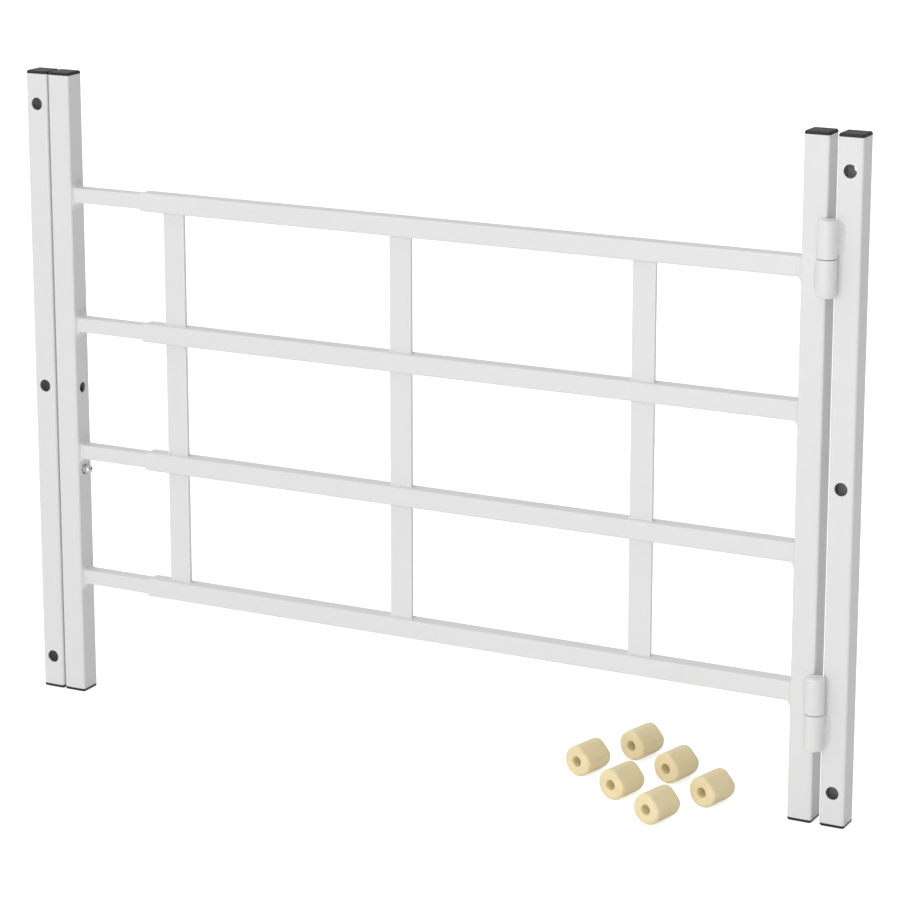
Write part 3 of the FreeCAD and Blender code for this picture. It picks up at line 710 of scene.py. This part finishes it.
def spacer_shell(number):
    """A moulded spacer: a round bar with one flat, soft rims and a hole with flared mouths.

    The outline's radius is the soft minimum of the bar's radius R and of the flat's
    distance d / cos(angle from the flat): (R^-p + (d / cos)^-p) ^ (-1/p) with p = 14,
    scaled so that it reaches R. Rows run from the hole over the front face, round the rim
    and along the bar to its middle, and the same rows mirrored make the back.
    """
    sizes = bpy.context.scene.guard_spacer
    name = "wall_spacer_%d" % number
    middle, half = node_box(name)
    radius, power = half[2], 14
    angle = np.linspace(0, 2 * math.pi, 144, endpoint=False)
    facing = np.clip(np.cos(angle - sizes.flat_angle), 1e-3, 1)
    rim = (radius ** -power + (sizes.flat_distance / facing) ** -power) ** (-1 / power)
    rim *= radius / rim.max()
    hole, soft, end = sizes.hole_radius, sizes.rim_round, sizes.length / 2
    mouth = hole + 0.95 * MM
    inner = rim - soft
    front = [
        (hole, end / 2), (hole, end - 0.9 * MM), (hole + 0.12 * MM, end - 0.45 * MM),
        (hole + 0.45 * MM, end - 0.12 * MM), (mouth, end),
    ]
    front += [((1 - share) * mouth + share * inner, end) for share in (0.35, 0.7, 0.93)]
    front += [
        (inner + soft * math.sin(turn), end - soft * (1 - math.cos(turn)))
        for turn in np.linspace(0, math.pi / 2, 9)]
    front += [(rim, end - soft - 1.5 * MM), (rim * 0.998, end * 0.24)]
    rows = front + [(reach, -place) for reach, place in reversed(front)]
    reach = np.stack([np.broadcast_to(reach, angle.shape) for reach, _ in rows])
    along = -np.array([place for _, place in rows])[:, None]
    wide, up = reach * np.cos(angle), reach * np.sin(angle)
    c, s = math.cos(sizes.turn), math.sin(sizes.turn)
    points = grid_points(
        middle[0] + c * wide - s * along, middle[1] + s * wide + c * along, middle[2] + up)
    return closed_grid(points, loop=True), name


def knob_shell():
    """A turned knob: a dome on a short neck with a slight waist.

    Radius along the axis: a quarter circle for the dome, then a neck drawn in by the
    waist's share in the middle of its length, as 1 - waist * sin^2, to its inner end.
    """
    middle, half = node_box("latch_knob")
    radius, waist = half[2], 0.08
    tip, start = middle[0] + half[0], middle[0] - half[0]
    dome = np.linspace(math.radians(4), math.pi / 2, 20)
    neck = np.linspace(0, 1, 12)[1:]
    x = np.concatenate([
        tip - radius * (1 - np.cos(dome)), (tip - radius) + (start - tip + radius) * neck])
    reach = radius * np.concatenate([np.sin(dome), 1 - waist * np.sin(math.pi * neck) ** 2])
    angle = np.linspace(0, 2 * math.pi, 64, endpoint=False)
    points = grid_points(
        x[:, None], middle[1] + reach[:, None] * np.cos(angle),
        middle[2] + reach[:, None] * np.sin(angle))
    return closed_grid(points, loop=False)


# ---------------------------------------------------------------- operators

class GUARD_OT_posts(bpy.types.Operator):
    """Coats the four square posts white outside and leaves their tubes bare inside"""

    bl_idname = "guard.posts"
    bl_label = "Coat Posts"

    def execute(self, context):
        for name in POST_BODIES:
            paint([post_node(name)], powder_coat("%s_white_coat" % name, name))
        return {"FINISHED"}


class GUARD_OT_bars(bpy.types.Operator):
    """Makes the outer bars with drawn mouths, and coats the inner bars and the uprights"""

    bl_idname = "guard.bars"
    bl_label = "Make Bars and Uprights"

    def execute(self, context):
        coat = powder_coat("bar_white_coat")
        for number in BAR_NUMBERS:
            make_piece("coated_outer_bar_%d" % number, [drawn_tube(number)], coat,
                       "gate_frame", ["outer_bar_%d" % number])
        paint(["inner_bar_%d" % number for number in BAR_NUMBERS], powder_coat("sliding_bar_coat"))
        paint(UPRIGHT_NAMES, powder_coat("upright_white_coat"))
        return {"FINISHED"}


class GUARD_OT_welds(bpy.types.Operator):
    """Makes the smooth painted weld beads of bars, uprights and hinges"""

    bl_idname = "guard.welds"
    bl_label = "Make Welds"

    def execute(self, context):
        finish, welds = context.scene.guard_finish, context.scene.guard_welds
        coat = surface(
            "weld_white_coat", finish.coat_colour, finish.coat_roughness - 0.03,
            {"IOR": 1.5, "Coat Weight": 0.3, "Coat Roughness": 0.12},
            cloud=(60.0, 0.05), relief=(320.0, 0.2), depth=0.07 * MM)
        make_piece("outer_bar_welds", bar_beads("outer", OUTER_CORNER, "hinge_post", -1), coat,
                   "gate_frame", ["outer_bar_beads"])
        make_piece("inner_bar_welds", bar_beads("inner", INNER_CORNER, "latch_post", 1), coat,
                   "sliding_frame", ["inner_bar_beads"])
        make_piece("upright_welds", upright_beads(), coat,
                   "gate_frame", ["upright_beads"])
        for owner, body, side, leg, seeds in (
                ("gate", "gate_frame", -1, welds.gate_hinge_leg, (0.4, 1.9)),
                ("jamb", "right_jamb", 1, welds.jamb_hinge_leg, (2.6, 0.9))):
            shells = [
                hinge_bead("%s_knuckle_%s" % (owner, level), side, leg, seed)
                for level, seed in zip(HINGE_LEVELS, seeds)]
            make_piece("%s_hinge_welds" % owner, shells, coat,
                       body, ["%s_hinge_beads" % owner])
        return {"FINISHED"}


class GUARD_OT_hinges(bpy.types.Operator):
    """Coats the four knuckles and gives the hinge pins their steel"""

    bl_idname = "guard.hinges"
    bl_label = "Finish Hinges"

    def execute(self, context):
        knuckles = ["%s_knuckle_%s" % (owner, level)
                    for owner in ("jamb", "gate") for level in HINGE_LEVELS]
        paint(knuckles, powder_coat("knuckle_white_coat"))
        paint(["hinge_pin_%s" % level for level in HINGE_LEVELS],
              plain_steel("hinge_pin_steel", (0.42, 0.41, 0.40), 0.32))
        return {"FINISHED"}


class GUARD_OT_caps(bpy.types.Operator):
    """Makes the eight black moulded end caps"""

    bl_idname = "guard.caps"
    bl_label = "Make End Caps"

    def execute(self, context):
        plastic = surface(
            "cap_black_plastic", context.scene.guard_finish.cap_colour, 0.48, {"IOR": 1.5},
            cloud=(70.0, 0.25), speck=(1200.0, 0.25), relief=(1600.0, 0.5), depth=0.03 * MM,
            spread=0.08)
        for post, body in POST_BODIES.items():
            for top in (True, False):
                shell, node = cap_shell(post, top)
                make_piece(node.replace("cap", "end_cap"), [shell], plastic, body,
                           [node])
        return {"FINISHED"}


class GUARD_OT_latch(bpy.types.Operator):
    """Makes the latch's polished knob and finishes its bolt, clip and guide"""

    bl_idname = "guard.latch"
    bl_label = "Make Latch"

    def execute(self, context):
        bright = surface(
            "knob_bright_steel", (0.78, 0.78, 0.77), 0.16, {"Metallic": 1.0},
            cloud=(120.0, 0.08), speck=(2500.0, 0.1), relief=(2200.0, 0.5), depth=0.004 * MM,
            spread=0.04)
        make_piece("latch_knob_dome", [knob_shell()], bright,
                   "latch_plunger", ["latch_knob"])
        paint(["latch_bolt", "latch_clip"], plain_steel("bolt_steel", (0.46, 0.45, 0.44), 0.34))
        paint(["latch_guide"], surface(
            "guide_grey_nylon", (0.30, 0.30, 0.29), 0.45, {"IOR": 1.53},
            cloud=(80.0, 0.1), relief=(1300.0, 0.4), depth=0.02 * MM))
        return {"FINISHED"}


class GUARD_OT_spacers(bpy.types.Operator):
    """Makes the six loose wall spacers in natural nylon"""

    bl_idname = "guard.spacers"
    bl_label = "Make Wall Spacers"

    def execute(self, context):
        nylon = surface(
            "spacer_natural_nylon", context.scene.guard_finish.nylon_colour, 0.42,
            {"IOR": 1.53, "Subsurface Weight": 0.25, "Subsurface Radius": (1.0, 0.7, 0.35),
             "Subsurface Scale": 3 * MM},
            cloud=(55.0, 0.16), speck=(1300.0, 0.05), relief=(500.0, 0.4), depth=0.05 * MM,
            spread=0.06)
        for number in SPACER_NUMBERS:
            shell, node = spacer_shell(number)
            make_piece("nylon_spacer_%d" % number, [shell], nylon,
                       "right_jamb", [node])
        return {"FINISHED"}


class GUARD_OT_stage(bpy.types.Operator):
    """Sets the pale floor, the soft studio light and the camera"""

    bl_idname = "guard.stage"
    bl_label = "Set Stage"

    def execute(self, context):
        stage = context.scene.guard_stage
        self.lay_floor(stage)
        self.light_room(context.scene, stage)
        self.hang_soft_box("key_light", stage.key_power, 3.6, (0.7, -4.9, 0.6), (-0.3, 0.0, 0.0))
        self.hang_soft_box("top_light", stage.top_power, 2.0, (-0.3, 0.1, 2.3), (-0.36, 0.0, 0.0))
        self.stand_camera(context.scene, stage)
        return {"FINISHED"}

    def lay_floor(self, stage):
        """A wide flat square under the guard."""
        reach = 30.0
        corners = [(x * reach, y * reach, FLOOR_Z) for x, y in ((-1, -1), (1, -1), (1, 1), (-1, 1))]
        mesh = bpy.data.meshes.new("floor")
        mesh.from_pydata(corners, [], [(0, 1, 2, 3)])
        mesh.materials.append(self.floor_board(stage))
        floor = bpy.data.objects.new("floor", mesh)
        bpy.context.scene.collection.objects.link(floor)

    def floor_board(self, stage):
        """Pale matt board with a faint unevenness of tone, which glows only to the camera."""
        board = surface(
            "floor_pale_board", stage.floor_colour, 0.8,
            {"Specular IOR Level": 0.1, "Emission Color": (1, 1, 1, 1)},
            cloud=(1.5, 0.01), speck=(300.0, 0.0), relief=(200.0, 0.2), depth=0.01 * MM)
        tree = board.node_tree
        seen = tree.nodes["Principled BSDF"]
        ray = put(tree, "ShaderNodeLightPath")
        glow = put(tree, "ShaderNodeMath", {
            0: ray.outputs["Is Camera Ray"], 1: stage.floor_glow}, operation="MULTIPLY")
        tree.links.new(glow.outputs[0], seen.inputs["Emission Strength"])
        share = stage.floor_return
        unseen = put(tree, "ShaderNodeBsdfDiffuse", {"Color": (share, share, share, 1)})
        mix = put(tree, "ShaderNodeMixShader", {
            0: ray.outputs["Is Camera Ray"], 1: unseen.outputs[0], 2: seen.outputs[0]})
        tree.links.new(mix.outputs[0], tree.nodes["Material Output"].inputs["Surface"])
        return board

    def light_room(self, scene, stage):
        """Soft light that dims from left to right and grows overhead, in a room that looks white."""
        world = bpy.data.worlds.new("studio_room")
        scene.world = world
        world.use_nodes = True
        tree = world.node_tree
        even = tree.nodes["Background"]
        even.inputs["Color"].default_value = (1, 1, 1, 1)
        direction = put(tree, "ShaderNodeTexCoord")
        axes = put(tree, "ShaderNodeSeparateXYZ", {"Vector": direction.outputs["Generated"]})
        level = put(tree, "ShaderNodeMapRange", {
            "Value": axes.outputs["X"], "From Min": -1.0, "From Max": 1.0,
            "To Min": stage.room_left, "To Max": stage.room_right})
        overhead = put(tree, "ShaderNodeMapRange", {
            "Value": axes.outputs["Z"], "From Min": 0.3, "From Max": 1.0,
            "To Min": 0.0, "To Max": stage.room_above})
        total = put(tree, "ShaderNodeMath", {
            0: level.outputs["Result"], 1: overhead.outputs["Result"]}, operation="ADD")
        tree.links.new(total.outputs[0], even.inputs["Strength"])
        white = put(tree, "ShaderNodeBackground", {"Color": (1, 1, 1, 1), "Strength": 1.0})
        ray = put(tree, "ShaderNodeLightPath")
        mix = put(tree, "ShaderNodeMixShader", {
            0: ray.outputs["Is Camera Ray"], 1: even.outputs[0], 2: white.outputs[0]})
        tree.links.new(mix.outputs[0], tree.nodes["World Output"].inputs["Surface"])
        scene.view_settings.view_transform = "Standard"

    def hang_soft_box(self, name, power, size, place, target):
        """A square area light that faces a point."""
        data = bpy.data.lights.new(name, "AREA")
        data.shape = "SQUARE"
        data.size = size
        data.energy = power
        lamp = bpy.data.objects.new(name, data)
        bpy.context.scene.collection.objects.link(lamp)
        lamp.location = place
        aim = type(lamp.location)(target) - lamp.location
        lamp.rotation_euler = aim.to_track_quat("-Z", "Y").to_euler()

    def stand_camera(self, scene, stage):
        """A long lens, tilted down and turned left, with no depth of field."""
        data = bpy.data.cameras.new("view_camera")
        data.sensor_width = 36
        data.lens = stage.lens
        data.shift_y = stage.camera_shift
        data.clip_start, data.clip_end = 0.05, 200
        camera = bpy.data.objects.new("view_camera", data)
        scene.collection.objects.link(camera)
        camera.location = stage.camera_place
        camera.rotation_euler = Euler((math.pi / 2 - stage.camera_pitch, 0, stage.camera_yaw))
        scene.camera = camera


class GUARD_PT_sidebar(bpy.types.Panel):
    """Shows the guard's operators as buttons in the 3D view's sidebar"""

    bl_idname = "GUARD_PT_sidebar"
    bl_label = "Window Guard"
    bl_space_type = "VIEW_3D"
    bl_region_type = "UI"
    bl_category = "Window Guard"

    def draw(self, context):
        for operator in OPERATORS:
            self.layout.operator(operator.bl_idname)


OPERATORS = (GUARD_OT_posts, GUARD_OT_bars, GUARD_OT_welds, GUARD_OT_hinges, GUARD_OT_caps,
             GUARD_OT_latch, GUARD_OT_spacers, GUARD_OT_stage)
SETTINGS = {
    "guard_finish": GuardFinish,
    "guard_welds": GuardWelds,
    "guard_spacer": GuardSpacer,
    "guard_stage": GuardStage,
}


def register():
    for kind in (*SETTINGS.values(), *OPERATORS, GUARD_PT_sidebar):
        bpy.utils.register_class(kind)
    for name, kind in SETTINGS.items():
        setattr(bpy.types.Scene, name, PointerProperty(type=kind))


def unregister():
    for name in SETTINGS:
        delattr(bpy.types.Scene, name)
    for kind in (GUARD_PT_sidebar, *reversed(OPERATORS), *SETTINGS.values()):
        bpy.utils.unregister_class(kind)


def main():
    """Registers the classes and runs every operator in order."""
    register()
    bpy.ops.guard.posts()
    bpy.ops.guard.bars()
    bpy.ops.guard.welds()
    bpy.ops.guard.hinges()
    bpy.ops.guard.caps()
    bpy.ops.guard.latch()
    bpy.ops.guard.spacers()
    bpy.ops.guard.stage()


if __name__ == "__main__":
    main()
